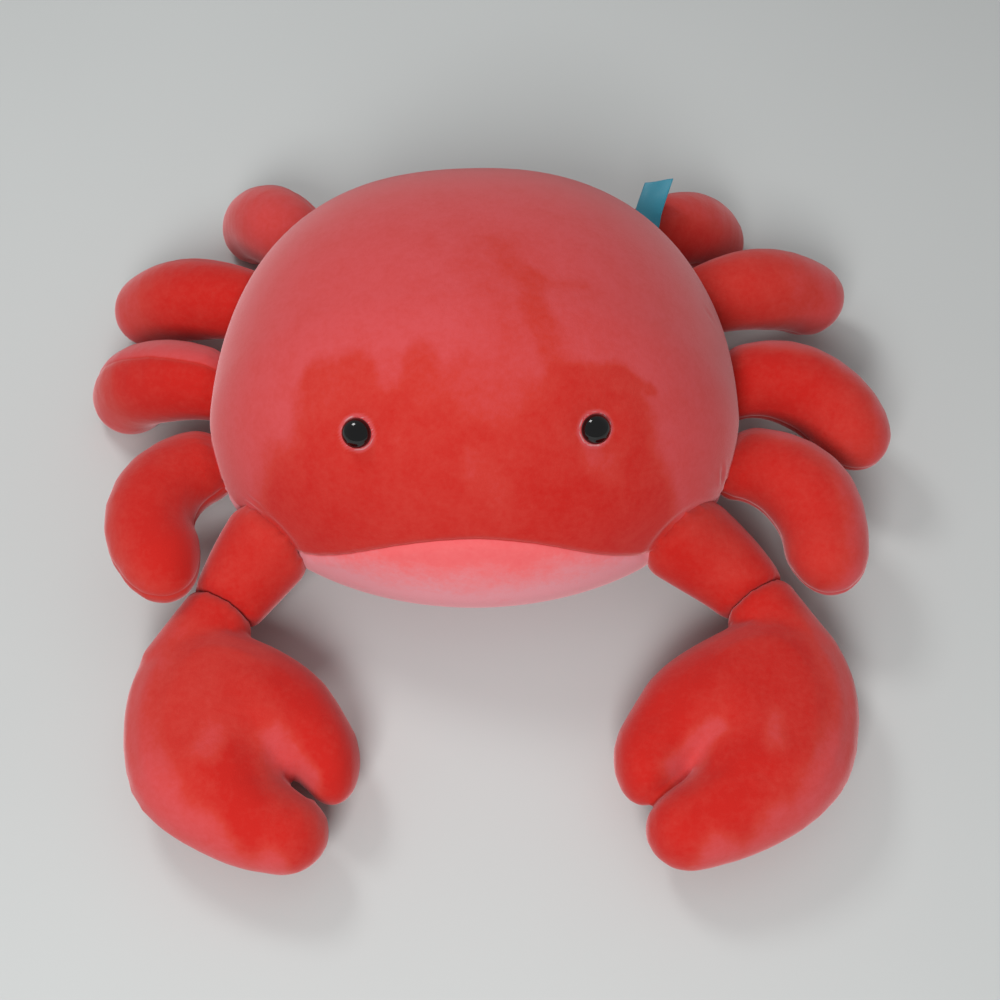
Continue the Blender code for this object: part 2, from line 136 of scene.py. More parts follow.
def velvet(name, deep, lying, lifted, pressed):
    """Short-pile polyester velvet, knitted and brushed.

    The pile attribute tells how the pile lies, with painted light mixed in: at 0 it leans away and looks deep
    and saturated, and at 1 it has been stroked back and looks dusty and pale. Where it follows the light, its
    pale values are painted sheen and its deep values are painted shade. Above 1.2 it is pressed flat, as
    round an eye. Its tips also catch the light at a grazing angle. "seam" is the distance to the nearest
    seam, in metres.
    """
    material, tree, shader = new_material(name)
    place = add_node(tree, "ShaderNodeTexCoord").outputs["Object"]
    nap_and_light = add_node(tree, "ShaderNodeAttribute", {"attribute_name": "nap_and_light"}).outputs["Fac"]
    # finger marks about 12 mm across, and tufts of 3 mm that lean their own way
    marks = add_node(tree, "ShaderNodeTexNoise", values={"Scale": 80.0, "Detail": 5.0, "Roughness": 0.6,
                                                         "Distortion": 0.4}, links={"Vector": place})
    tufts = add_node(tree, "ShaderNodeTexNoise", values={"Scale": 330.0, "Detail": 4.0, "Roughness": 0.65},
                     links={"Vector": place})
    marked = add_node(tree, "ShaderNodeMath", {"operation": "MULTIPLY_ADD"}, {1: 0.55},
                      {0: marks.outputs["Fac"], 2: nap_and_light})
    tufted = add_node(tree, "ShaderNodeMath", {"operation": "MULTIPLY_ADD"}, {1: 0.5},
                      {0: tufts.outputs["Fac"], 2: marked.outputs[0]})
    lean = add_node(tree, "ShaderNodeMath", {"operation": "SUBTRACT", "use_clamp": True}, {1: 0.525},
                    {0: tufted.outputs[0]})
    pile = add_node(tree, "ShaderNodeValToRGB", links={"Fac": lean.outputs[0]})
    pile.color_ramp.elements[0].color = srgb(deep)
    pile.color_ramp.elements[1].color = srgb(lifted)
    pile.color_ramp.elements.new(0.4).color = srgb(lying)
    flat = add_node(tree, "ShaderNodeMapRange", values={"From Min": 1.2, "From Max": 1.6},
                    links={"Value": nap_and_light})
    shown = add_node(tree, "ShaderNodeMix", {"data_type": "RGBA"}, {7: srgb(pressed)},
                     {0: flat.outputs[0], 6: pile.outputs["Color"]})
    # the cloth sinks into a seam, and a fine line about 1 mm wide along it is mixed towards the deep colour:
    # painted shade in the seam's groove
    offset = add_node(tree, "ShaderNodeAttribute", {"attribute_name": "seam"}).outputs["Fac"]
    away = add_node(tree, "ShaderNodeMath", {"operation": "ABSOLUTE"}, links={0: offset})
    line = add_node(tree, "ShaderNodeMapRange", {"interpolation_type": "SMOOTHSTEP"},
                    {"From Min": 0.1 * MM, "From Max": 0.9 * MM, "To Min": 0.5, "To Max": 0.0},
                    {"Value": away.outputs[0]})
    colour = add_node(tree, "ShaderNodeMix", {"data_type": "RGBA"}, {7: srgb(deep)},
                      {0: line.outputs[0], 6: shown.outputs[2]})
    # pile clumps of about 1 mm over bare tufts of 0.4 mm
    clumps = add_node(tree, "ShaderNodeTexNoise", values={"Scale": 900.0, "Detail": 3.0, "Roughness": 0.7},
                      links={"Vector": place})
    dip = add_node(tree, "ShaderNodeMapRange", {"interpolation_type": "SMOOTHSTEP"},
                   {"From Min": 0.0, "From Max": 1.8 * MM, "To Min": -0.6, "To Max": 0.0},
                   {"Value": away.outputs[0]})
    height = add_node(tree, "ShaderNodeMath", {"operation": "MULTIPLY_ADD"}, {1: 0.5},
                      {0: clumps.outputs["Fac"], 2: dip.outputs[0]})
    bump = add_node(tree, "ShaderNodeBump", values={"Strength": 0.5, "Distance": 0.6 * MM},
                    links={"Height": height.outputs[0]})
    set_inputs(tree, shader, {"Roughness": 0.95, "Specular IOR Level": 0.15, "Sheen Weight": 0.5,
                              "Sheen Roughness": 0.4, "Sheen Tint": (1.0, 0.66, 0.68, 1.0)},
               {"Base Color": colour.outputs[2], "Normal": bump.outputs["Normal"]})
    return material


def eye_plastic():
    """Black polystyrene, moulded and polished: one hard, clear highlight over a nearly black body."""
    material, tree, shader = new_material("polished_polystyrene")
    place = add_node(tree, "ShaderNodeTexCoord").outputs["Object"]
    # hairline scratches of handling, far too shallow to break the highlight
    scuffs = add_node(tree, "ShaderNodeTexNoise", values={"Scale": 700.0, "Detail": 5.0},
                      links={"Vector": place})
    rough = add_node(tree, "ShaderNodeMapRange", values={"To Min": 0.05, "To Max": 0.12},
                     links={"Value": scuffs.outputs["Fac"]})
    set_inputs(tree, shader, {"Base Color": srgb("#040405"), "IOR": 1.55, "Specular IOR Level": 0.5},
               {"Roughness": rough.outputs[0]})
    return material


def washer_nylon():
    """Natural nylon, injection moulded: matt and milky, a little uneven."""
    material, tree, shader = new_material("moulded_nylon")
    place = add_node(tree, "ShaderNodeTexCoord").outputs["Object"]
    cloud = add_node(tree, "ShaderNodeTexNoise", values={"Scale": 240.0, "Detail": 3.0},
                     links={"Vector": place})
    shade = add_node(tree, "ShaderNodeMix", {"data_type": "RGBA"}, {6: srgb("#dcdad2"), 7: srgb("#efeee8")},
                     {0: cloud.outputs["Fac"]})
    set_inputs(tree, shader, {"Roughness": 0.5}, {"Base Color": shade.outputs[2]})
    return material


def label_satin():
    """Woven polyester satin ribbon: long floats of thread along it, so it shines in fine lines."""
    material, tree, shader = new_material("woven_satin")
    ribbon = add_node(tree, "ShaderNodeUVMap", {"uv_map": "ribbon"}).outputs["UV"]
    # the UV map is in metres: threads 0.35 mm apart, drawn at twice the real spacing so that they show
    warp = add_node(tree, "ShaderNodeTexWave", {"bands_direction": "X"}, {"Scale": 450.0, "Distortion": 0.6,
                                                                         "Detail": 2.0}, {"Vector": ribbon})
    weft = add_node(tree, "ShaderNodeTexWave", {"bands_direction": "Y"}, {"Scale": 300.0, "Distortion": 0.4},
                    {"Vector": ribbon})
    both = add_node(tree, "ShaderNodeMath", {"operation": "MULTIPLY_ADD"}, {1: 0.35},
                    {0: weft.outputs["Fac"], 2: warp.outputs["Fac"]})
    shade = add_node(tree, "ShaderNodeMix", {"data_type": "RGBA"}, {6: srgb("#126f86"), 7: srgb("#2a93ab")},
                     {0: warp.outputs["Fac"]})
    bump = add_node(tree, "ShaderNodeBump", values={"Strength": 0.35, "Distance": 0.15 * MM},
                    links={"Height": both.outputs[0]})
    set_inputs(tree, shader, {"Roughness": 0.38, "Sheen Weight": 0.2},
               {"Base Color": shade.outputs[2], "Normal": bump.outputs["Normal"]})
    return material


def thread(name, code):
    """Spun polyester sewing thread: two plies twisted at about 0.6 mm, with a soft shine."""
    material, tree, shader = new_material(name)
    place = add_node(tree, "ShaderNodeTexCoord").outputs["Object"]
    plies = add_node(tree, "ShaderNodeTexWave", {"bands_direction": "DIAGONAL"}, {"Scale": 500.0},
                     {"Vector": place})
    bump = add_node(tree, "ShaderNodeBump", values={"Strength": 0.5, "Distance": 0.1 * MM},
                    links={"Height": plies.outputs["Fac"]})
    set_inputs(tree, shader, {"Base Color": srgb(code), "Roughness": 0.6},
               {"Normal": bump.outputs["Normal"]})
    return material


def signed_power(value, power):
    return math.copysign(abs(value) ** power, value)


def bell(away, width):
    """1 on a line, and falling off smoothly over the width on both sides of it."""
    return np.exp(-(away / width) ** 2)


def distance_from(middle, points):
    return np.linalg.norm(points - np.array(middle), axis=1)


def body_point(turn, climb, grow=0.0):
    """Point of the body's skin, turned round Z from +X and climbing from the belly to the crown."""
    behind = math.sin(turn) > 0
    plan = 2 / PLAN_POWER[behind]
    side = 2 / SIDE_POWER[climb > 0]
    ring = max(math.cos(climb), 0) ** side
    depth = BACK_DEPTH if behind else FRONT_DEPTH
    rise = DOME_RISE if climb > 0 else BELLY_DROP
    return Vector((
        (HALF_WIDTH + grow) * ring * signed_power(math.cos(turn), plan),
        (depth + grow) * ring * signed_power(math.sin(turn), plan),
        WAIST_HEIGHT + (rise + grow) * signed_power(math.sin(climb), side),
    ))


def body_level(points):
    """How far out of the body each point is: below 1 inside, 1 on the skin."""
    behind = points[:, 1] > 0
    above = points[:, 2] > WAIST_HEIGHT
    plan_power = np.where(behind, PLAN_POWER[1], PLAN_POWER[0])
    side_power = np.where(above, SIDE_POWER[1], SIDE_POWER[0])
    x = np.abs(points[:, 0]) / HALF_WIDTH
    y = np.abs(points[:, 1]) / np.where(behind, BACK_DEPTH, FRONT_DEPTH)
    z = np.abs(points[:, 2] - WAIST_HEIGHT) / np.where(above, DOME_RISE, BELLY_DROP)
    plan = (x**plan_power + y**plan_power) ** (1 / plan_power)
    return (plan**side_power + z**side_power) ** (1 / side_power)


def body_slope(points):
    """The level's gradient, which points out of the body."""
    step = 0.1 * MM
    parts = []
    for axis in range(3):
        shift = np.zeros(3)
        shift[axis] = step
        parts.append((body_level(points + shift) - body_level(points - shift)) / (2 * step))
    return np.stack(parts, 1)


def body_outward(points):
    """The direction out of the body at each point."""
    slope = body_slope(points)
    return slope / np.maximum(np.linalg.norm(slope, axis=1), 1e-6)[:, None]


def body_distance(points):
    """Distance out of the body's skin, close to exact near it."""
    return (body_level(points) - 1) / np.maximum(np.linalg.norm(body_slope(points), axis=1), 1)


def waist_climb(turn):
    """The waist seam lies level at the sides and back, and arches over the belly at the front.

    It was sewn by eye, so it wavers by a millimetre.
    """
    from_front = math.remainder(turn + math.pi / 2, 2 * math.pi)
    share = min(abs(from_front) / ARCH_SPREAD, 1)
    waver = noise.noise(Vector((math.cos(turn), math.sin(turn), 0.3)) * 5)
    return ARCH_CLIMB * (1 - share**2) ** 1.5 + math.radians(0.5) * waver


def waist_line(count):
    """Points along the waist seam, all the way round."""
    turns = [2 * math.pi * step / count for step in range(count)]
    return [body_point(turn, waist_climb(turn)) for turn in turns]


def heading(degrees):
    return Vector((math.cos(math.radians(degrees)), math.sin(math.radians(degrees)), 0))


def wrist(side):
    turn, reach, reach_heading, _ = ARMS[side]
    point = body_point(math.radians(turn), 0) + heading(reach_heading) * reach
    point.z = WRIST_HEIGHT
    return point


def points_of(mesh, kind="co"):
    flat = np.empty(len(mesh.vertices) * 3)
    mesh.vertices.foreach_get(kind, flat)
    return flat.reshape(-1, 3)


def normals_of(mesh):
    return points_of(mesh, "normal")


def put_points(mesh, points):
    mesh.vertices.foreach_set("co", points.ravel())
    mesh.update()


def put_attribute(mesh, name, values):
    attribute = mesh.attributes.get(name) or mesh.attributes.new(name, "FLOAT", "POINT")
    attribute.data.foreach_set("value", np.asarray(values, np.float32))


def waves(points, size, seed):
    """Smooth noise from -1 to 1 at every point, with bumps of about the given size."""
    shift = Vector((seed * 7.3, seed * 3.1, seed * 5.7))
    return np.array([noise.noise(Vector(point) / size + shift) for point in points])


def neighbours(mesh):
    """Each edge's two vertices, and how many edges each vertex has."""
    ends = np.empty(len(mesh.edges) * 2, int)
    mesh.edges.foreach_get("vertices", ends)
    ends = ends.reshape(-1, 2)
    return ends, np.bincount(ends.ravel(), minlength=len(mesh.vertices))


def relax(mesh, rounds, keep=None):
    """Evens out a mesh without shrinking it: each round moves its points in and then back out again."""
    ends, counts = neighbours(mesh)
    points = points_of(mesh)
    free = np.ones(len(points)) if keep is None else 1 - keep
    for _ in range(rounds):
        for amount in (0.5, -0.52):
            total = np.zeros_like(points)
            np.add.at(total, ends[:, 0], points[ends[:, 1]])
            np.add.at(total, ends[:, 1], points[ends[:, 0]])
            mean = total / np.maximum(counts, 1)[:, None]
            points += (mean - points) * (amount * free)[:, None]
    put_points(mesh, points)


def piece_from(name, mesh, material):
    """A new piece at the origin, shaded smooth."""
    mesh.materials.clear()
    mesh.materials.append(material)
    mesh.shade_smooth()
    piece = bpy.data.objects.new(name, mesh)
    bpy.context.scene.collection.objects.link(piece)
    return piece


def built(name, bm, placed, material):
    """A new piece from a mesh in work, moved to its place."""
    bmesh.ops.transform(bm, matrix=placed, verts=bm.verts)
    mesh = bpy.data.meshes.new(name)
    bm.to_mesh(mesh)
    bm.free()
    return piece_from(name, mesh, material)


def evaluated(piece):
    """The piece's mesh with its modifiers applied, which takes the place of its old one."""
    graph = bpy.context.evaluated_depsgraph_get()
    mesh = bpy.data.meshes.new_from_object(piece.evaluated_get(graph))
    old = piece.data
    piece.modifiers.clear()
    piece.data = mesh
    bpy.data.meshes.remove(old)
    return mesh


def remeshed(piece, voxel):
    """Even quads over the whole piece, as the stuffing needs them."""
    modifier = piece.modifiers.new("even", "REMESH")
    modifier.mode = "VOXEL"
    modifier.voxel_size = voxel
    modifier.use_smooth_shade = True
    return evaluated(piece)


def subdivided(piece, levels):
    modifier = piece.modifiers.new("fine", "SUBSURF")
    modifier.levels = modifier.render_levels = levels
    return evaluated(piece)


def push_out(mesh, height):
    """Moves the skin out along its normals, by a height for each point."""
    put_points(mesh, points_of(mesh) + normals_of(mesh) * height[:, None])


def plump(mesh, held, grow):
    """Gives back the fullness that evening out the mesh took off, except where the cloth is held."""
    push_out(mesh, grow * (1 - held))


def stuff(piece, held, pressure, limit):
    """Fills the piece with a cloth simulation: it swells between its held points, by the limit at most.

    held is a weight for each point.
    """
    scene = bpy.context.scene
    before = points_of(piece.data)
    group = piece.vertex_groups.new(name="held")
    for index in np.nonzero(held > 0.01)[0]:
        group.add([int(index)], float(held[index]), "REPLACE")
    cloth = piece.modifiers.new("stuffing", "CLOTH")
    settings = cloth.settings
    settings.quality = 5
    settings.mass = 0.3
    settings.tension_stiffness = 20
    settings.compression_stiffness = 20
    settings.bending_stiffness = 0.6
    settings.use_pressure = True
    settings.uniform_pressure_force = pressure
    settings.effector_weights.gravity = 0
    settings.vertex_group_mass = "held"
    settings.pin_stiffness = 1
    frames = 20
    cloth.point_cache.frame_start = 1
    cloth.point_cache.frame_end = frames
    for step in range(1, frames + 1):
        scene.frame_set(step)
    mesh = evaluated(piece)
    scene.frame_set(1)
    after = points_of(mesh)
    move = after - before
    length = np.linalg.norm(move, axis=1)
    move *= np.minimum(1, limit / np.maximum(length, 1e-9))[:, None]
    put_points(mesh, before + move * (1 - held)[:, None])
    piece.vertex_groups.clear()


def finish_cushion(piece, node):
    """Rests the piece on the floor, then binds it to its body and hides the solid that it stands for."""
    points = points_of(piece.data)
    points[:, 2] = np.maximum(points[:, 2], 0.0)
    put_points(piece.data, points)
    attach(piece, "root")
    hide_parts(node)


def merged_copy(node):
    """A copy of a solid's mesh with its loose triangles joined up."""
    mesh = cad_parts[node].data.copy()
    mesh.name = f"{node}_skin"
    bm = bmesh.new()
    bm.from_mesh(mesh)
    bmesh.ops.remove_doubles(bm, verts=bm.verts, dist=0.02 * MM)
    bm.to_mesh(mesh)
    bm.free()
    return mesh


def body_skin(upper, columns, rows):
    """The dome or the belly in rows that follow the waist seam and lie closest together beside it.

    A flange and a lid close it inside.
    """
    way = 1 if upper else -1
    turns = [2 * math.pi * column / columns for column in range(columns)]
    rings = [[body_point(turn, waist_climb(turn), -inward) for turn in turns] for inward in (14 * MM, 5 * MM)]
    for row in range(rows):
        share = (row / rows) ** 1.35
        climbs = [waist_climb(turn) * (1 - share) + share * way * math.pi / 2 for turn in turns]
        rings.append([body_point(turn, climb) for turn, climb in zip(turns, climbs)])
    for ring in rings[:3]:
        for point in ring:
            point.z += way * HALF_GAP
    points = [Vector((0, 0, WAIST_HEIGHT + way * HALF_GAP))]
    for ring in rings:
        points.extend(ring)
    points.append(body_point(0, way * math.pi / 2))
    faces = []
    for column in range(columns):
        after = (column + 1) % columns
        faces.append((0, 1 + after, 1 + column))
        for row in range(len(rings) - 1):
            low = 1 + row * columns
            high = low + columns
            faces.append((low + column, low + after, high + after, high + column))
        top = 1 + (len(rings) - 1) * columns
        faces.append((top + column, top + after, len(points) - 1))
    if not upper:
        faces = [face[::-1] for face in faces]
    mesh = bpy.data.meshes.new("body_skin")
    mesh.from_pydata([tuple(point) for point in points], [], faces)
    mesh.update()
    return mesh


def tree_of(points):
    tree = KDTree(len(points))
    for index, point in enumerate(points):
        tree.insert(point, index)
    tree.balance()
    return tree


def nearest(points, line):
    """The distance from every point to the nearest point of a line, and that point's number."""
    tree = tree_of(line)
    found = [tree.find(point) for point in points]
    return np.array([row[2] for row in found]), np.array([row[1] for row in found])


def creases(phase, sharpness):
    """Narrow valleys between broad folds, from 0 on a fold to 1 in a valley, one for each turn of phase."""
    return (1 - np.abs(np.sin(phase * math.pi))) ** sharpness


def around(points, middle, axis):
    """Each point's direction out of an axis, its distance from it and its angle round it."""
    axis = np.array(axis)
    side = np.cross(axis, (0.0, 0.0, 1.0))
    side /= np.linalg.norm(side)
    up = np.cross(side, axis)
    relative = points - np.array(middle)
    outward = relative - np.outer(relative @ axis, axis)
    radius = np.linalg.norm(outward, axis=1)
    outward /= np.maximum(radius, 1e-6)[:, None]
    return outward, radius, np.arctan2(outward @ up, outward @ side)


def gather(points, middle, axis, distance, depth, reach, folds, seed):
    """Draws cloth in towards a sewn end, deepest on the seam, with folds that die away from it."""
    outward, radius, angle = around(points, middle, axis)
    circle = np.stack([np.cos(angle), np.sin(angle), np.zeros_like(angle)], 1)
    wander = waves(circle, 0.7, seed)
    strength = np.clip(0.35 + 0.65 * waves(circle, 0.3, seed + 11), 0, 1)
    fold = creases(angle / (2 * math.pi) * folds + wander * 1.6, 1.6) * strength
    away = np.maximum(distance, 0)
    amount = depth * (0.55 * bell(away, 0.4 * reach) + 0.6 * fold * np.exp(-away / reach))
    return points - outward * np.minimum(amount, radius * 0.5)[:, None]


def sewn_roots():
    """Where each limb is sewn to the body: its middle, and the distance from there to its seam."""
    roots = []
    for turn, *_ in LEGS.values():
        middle = body_point(math.radians(turn), 0)
        middle.z -= LEG_DROP
        roots.append((middle, LEG_ROOT))
    for turn, *_ in ARMS.values():
        roots.append((body_point(math.radians(turn), 0), ARM_ROOT))
    return roots


def held_by_limbs(points, fade):
    """1 where a limb's seam holds the body's cloth, and less over the fade round it."""
    held = np.zeros(len(points))
    for middle, reach in sewn_roots():
        away = distance_from(middle, points)
        held = np.maximum(held, np.clip(1 - (away - reach) / fade, 0, 1))
    return held


def tucked(points, distance, depth):
    """Slips a limb's sewn end into the seam, so that no gap shows between it and the body."""
    share = np.clip(1 - distance / (2.5 * depth), 0, 1)
    return points - body_outward(points) * (depth * share)[:, None]


def swelling(upper, settings):
    """The stuffed half's points before the simulation, and how far it moves each of them."""
    piece = piece_from("half_in_work", body_skin(upper, 160, 40), None)
    mesh = remeshed(piece, settings.body_voxel)
    relax(mesh, 6)
    points = points_of(mesh)
    distance, _ = nearest(points, waist_line(720))
    inside = np.clip(-body_distance(points) / (3 * MM), 0, 1)
    held = np.maximum(np.maximum(inside, bell(distance, 6 * MM)), held_by_limbs(points, 9 * MM))
    if not upper:
        held = np.maximum(held, np.clip(1 - points[:, 2] / (6 * MM), 0, 1))
    stuff(piece, held, settings.pressure, settings.swell)
    moves = points_of(piece.data) - points
    mesh = piece.data
    bpy.data.objects.remove(piece)
    bpy.data.meshes.remove(mesh)
    return points, moves


def carried(points, sources, moves):
    """The moves of the sources nearest to each point, shared out by how close they are."""
    tree = tree_of(sources)
    result = np.empty_like(points)
    for number, point in enumerate(points):
        found = tree.find_n(point, 6)
        picks = [row[1] for row in found]
        weights = np.array([1 / (row[2] + 1 * MM) ** 2 for row in found])
        result[number] = weights @ moves[picks] / weights.sum()
    return result


def make_body(name, upper, settings, material):
    """One half of the body, swollen by its stuffing and drawn in along its seams."""
    columns, rows = settings.body_columns, settings.body_columns // (4 if upper else 8)
    mesh = body_skin(upper, columns, rows)
    points = points_of(mesh)
    swollen = points + carried(points, *swelling(upper, settings))
    line = waist_line(columns)
    distance, index = nearest(points, line)
    run = lengthwise(line)[index]
    pucker = creases(run / settings.pucker_spacing + waves(points, 0.05, 4), 1.4)
    pucker *= np.clip(0.4 + 0.6 * waves(points, 0.04, 9), 0, 1)
    draw = settings.seam_depth * bell(distance, 2.6 * MM)
    draw += 0.5 * MM * pucker * np.exp(-distance / (5 * MM))
    for middle, reach in sewn_roots():
        draw += 0.9 * MM * bell(distance_from(middle, points) - reach, 3 * MM)
    put_points(mesh, swollen - body_outward(points) * draw[:, None])
    put_attribute(mesh, "seam", distance)
    return piece_from(name, mesh, material), mesh, points


def dent(points, normals, middle, width, depth):
    """Presses the skin in round a point."""
    return points - normals * (depth * bell(distance_from(middle, points), width))[:, None]


def press_folds(points, normals, folds):
    """Presses fine valleys in, each with a start and an end in mm, a depth and a half width in mm."""
    for start, end, depth, width in folds:
        start, end = np.array(start) * MM, np.array(end) * MM
        span = end - start
        share = (points - start) @ span / (span @ span)
        away = np.linalg.norm(points - start - np.clip(share, 0, 1)[:, None] * span, axis=1)
        taper = np.clip(1.2 - np.abs(2 * share - 1), 0, 1)
        half = width * MM
        # the cloth that the valley takes up stands a little proud on each side of it
        valley = bell(away, half) - 0.5 * bell(away - 2 * half, half)
        points = points - normals * (depth * MM * taper * valley)[:, None]
    return points


def lengthwise(line):
    """Arc length along a line, for each of its points."""
    steps = [0.0]
    for start, end in zip(line, line[1:]):
        steps.append(steps[-1] + (end - start).length)
    return np.array(steps)


def soft_hollows(mesh, depth, size, seed):
    """Broad, shallow unevenness of stuffing under the cloth."""
    push_out(mesh, depth * waves(points_of(mesh), size, seed))


# How the dome's pile lies, seen from above: brushed streaks, and a deep front face against the pale top and
# sides, whose paleness is painted sheen. Each stroke has a start and an end (x, y in mm), a half width and a
# nap, and how far its edge fades. A later stroke lies over an earlier one.
DOME_BRUSHING_AND_SHEEN = (
    ((-76, -82), (74, -82), 26, 0.25, 22),
    ((-68, -60), (76, -58), 15, 0.25, 16),
    ((-72, -42), (-60, -42), 14, 0.36, 10),
    ((-22, -50), (-24, -40), 9, 0.4, 9),
    ((0, -50), (14, -50), 13, 0.58, 14),
    ((2, -78), (14, -86), 6, 0.45, 10),
    ((12, 22), (30, -30), 20, 0.72, 26),
    ((45, 4), (62, -16), 14, 0.82, 16),
    ((46, -46), (72, -44), 12, 0.26, 8),
    ((72, -40), (88, -36), 3, 0.35, 4),
    ((-40, -37), (-38, -40), 6, 0.8, 8),
    ((10, 33), (20, 15), 5, 0.55, 8),
    ((20, 15), (31, 3), 6, 0.45, 6),
    ((29, 2), (30, -9), 6.5, 0.5, 7),
    ((30, -9), (38, -30), 7, 0.45, 8),
    ((37, 3), (54, 9), 2.5, 0.65, 4),
    ((-20, 38), (-20, 31), 4, 0.75, 8),
    ((60, -69), (72, -74), 6, 0.62, 8),
    ((79, -66), (78, -54), 4, 0.2, 5),
    ((-98, -68), (-60, -84), 12, 0.15, 18),
    ((30, -92), (92, -74), 10, 0.12, 16),
)

# Fine folds where the arms and a leg pull at the dome: start and end, depth and half width in mm.
DOME_FOLDS = (
    ((111, -58, 87), (129, -45, 62), 0.7, 1.7),
    ((110, -61, 81), (128, -48, 57), 0.8, 1.7),
    ((113, -62, 72), (127, -50, 55), 0.7, 1.6),
    ((128, -40, 82), (132, -43, 66), 0.8, 1.8),
    ((-120, -57, 71), (-104, -70, 73), 0.6, 1.6),
    ((-117, -58, 78), (-108, -66, 80), 0.5, 1.6),
    ((121, 34, 119), (128, 31, 108), 0.35, 2.0),
)


def brushed(plan, strokes, nap_and_light, seed):
    """Paints strokes over a nap. Their edges break up where the pile stood unevenly."""
    spots = np.column_stack([plan, np.zeros(len(plan))])
    shift = [3.5 * waves(spots, 16, seed) + 1.2 * waves(spots, 5, seed + 1),
             3.5 * waves(spots, 16, seed + 2) + 1.2 * waves(spots, 5, seed + 3)]
    plan = plan + np.stack(shift, 1)
    for start, end, half, value, fade in strokes:
        span = np.array(end) - start
        share = np.clip((plan - start) @ span / (span @ span), 0, 1)
        away = np.linalg.norm(plan - start - share[:, None] * span, axis=1)
        cover = np.clip((half - away) / fade + 0.5, 0, 1)
        nap_and_light = nap_and_light + (value - nap_and_light) * cover**2 * (3 - 2 * cover)
    return nap_and_light


EYE_TURNS = {"eye_left": -123.1, "eye_right": -53.7}
EYE_CLIMB = math.radians(45.5)
# where the eye's rim presses the pile flat
EYE_RING = 8.3 * MM
EYE_RING_HALF = 1.8 * MM


def eye_place(name):
    """The eye's middle on the skin and its direction out of it."""
    middle = body_point(math.radians(EYE_TURNS[name]), EYE_CLIMB)
    slope = body_slope(np.array([middle]))[0]
    return middle, Vector(slope).normalized()


def make_dome(settings, material):
    piece, mesh, rest = make_body("dome_cushion", True, settings, material)
    soft_hollows(mesh, 0.8 * MM, 0.075, 3)
    points = points_of(mesh)
    points = press_folds(points, normals_of(mesh), DOME_FOLDS)
    # the pale nap of 0.92 left on the top and sides is painted sheen; the strokes add brushed streaks and the
    # deep front
    nap_and_light = brushed(rest[:, :2] / MM, DOME_BRUSHING_AND_SHEEN, np.full(len(points), 0.92), 60)
    for name in EYE_TURNS:
        middle, outward = eye_place(name)
        points = dent(points, np.array([outward]), middle, 12 * MM, 1.5 * MM)
        away = np.abs(distance_from(middle, points) - EYE_RING)
        nap_and_light += (1.6 - nap_and_light) * np.clip(1 - away / EYE_RING_HALF, 0, 1)
    put_points(mesh, points)
    put_attribute(mesh, "nap_and_light", nap_and_light)
    finish_cushion(piece, "body_top")


def make_belly(settings, material):
    piece, mesh, rest = make_body("belly_cushion", False, settings, material)
    # the pile turns paler and dustier away from the seam, towards the bottom where the belly curves under:
    # painted sheen
    below = np.clip((88 - rest[:, 2] / MM + 6 * waves(rest, 0.02, 21)) / 34, 0, 1)
    put_attribute(mesh, "nap_and_light", 0.3 + 0.75 * below)
    finish_cushion(piece, "belly")


def limb_skin(name, rounds, settings, material):
    """A limb's cloth over its solid, evened out, and its points."""
    piece = piece_from(f"{name}_cushion", merged_copy(name), material)
    mesh = remeshed(piece, settings.limb_voxel)
    relax(mesh, rounds)
    return piece, points_of(mesh)


def filled(piece, held, fullness, settings):
    """Stuffs a limb where nothing holds its cloth, and makes its mesh fine."""
    plump(piece.data, held, fullness)
    stuff(piece, held, settings.pressure, settings.swell)
    return subdivided(piece, 1)


def sewn_on(points):
    """1 where a limb's cloth is sewn to the body, and less over the next millimetres."""
    return np.clip(1.3 - body_distance(points) / (5 * MM), 0, 1)


def resting(points):
    """1 on the floor, and less over the first 2 mm above it."""
    return np.clip(1 - points[:, 2] / (2 * MM), 0, 1)


def past_wrist(points, side):
    """How far past the wrist each point is, along the claw."""
    return (points - np.array(wrist(side))) @ np.array(heading(ARMS[side][3]))


def leg_frame(name):
    turn, direction, pitch, roll = LEGS[name][:4]
    side = -1 if "left" in name else 1
    root = body_point(math.radians(turn), 0)
    root.z -= LEG_DROP
    turned = Euler((-side * math.radians(roll), -math.radians(pitch), math.radians(direction)))
    return Matrix.LocRotScale(root, turned, None)


def leg_places(points, name):
    """Each point's run along the leg, its distance out of the leg's middle line and its angle round it."""
    curl = math.radians(LEGS[name][4])
    local = np.array(leg_frame(name).inverted())
    own = points @ local[:3, :3].T + local[:3, 3]
    arc = LEG_LENGTH / curl
    angle = np.arctan2(own[:, 0], own[:, 2] + arc)
    outward = np.hypot(own[:, 0], own[:, 2] + arc) - arc
    return angle * arc, np.hypot(outward, own[:, 1]), np.arctan2(own[:, 1], outward)


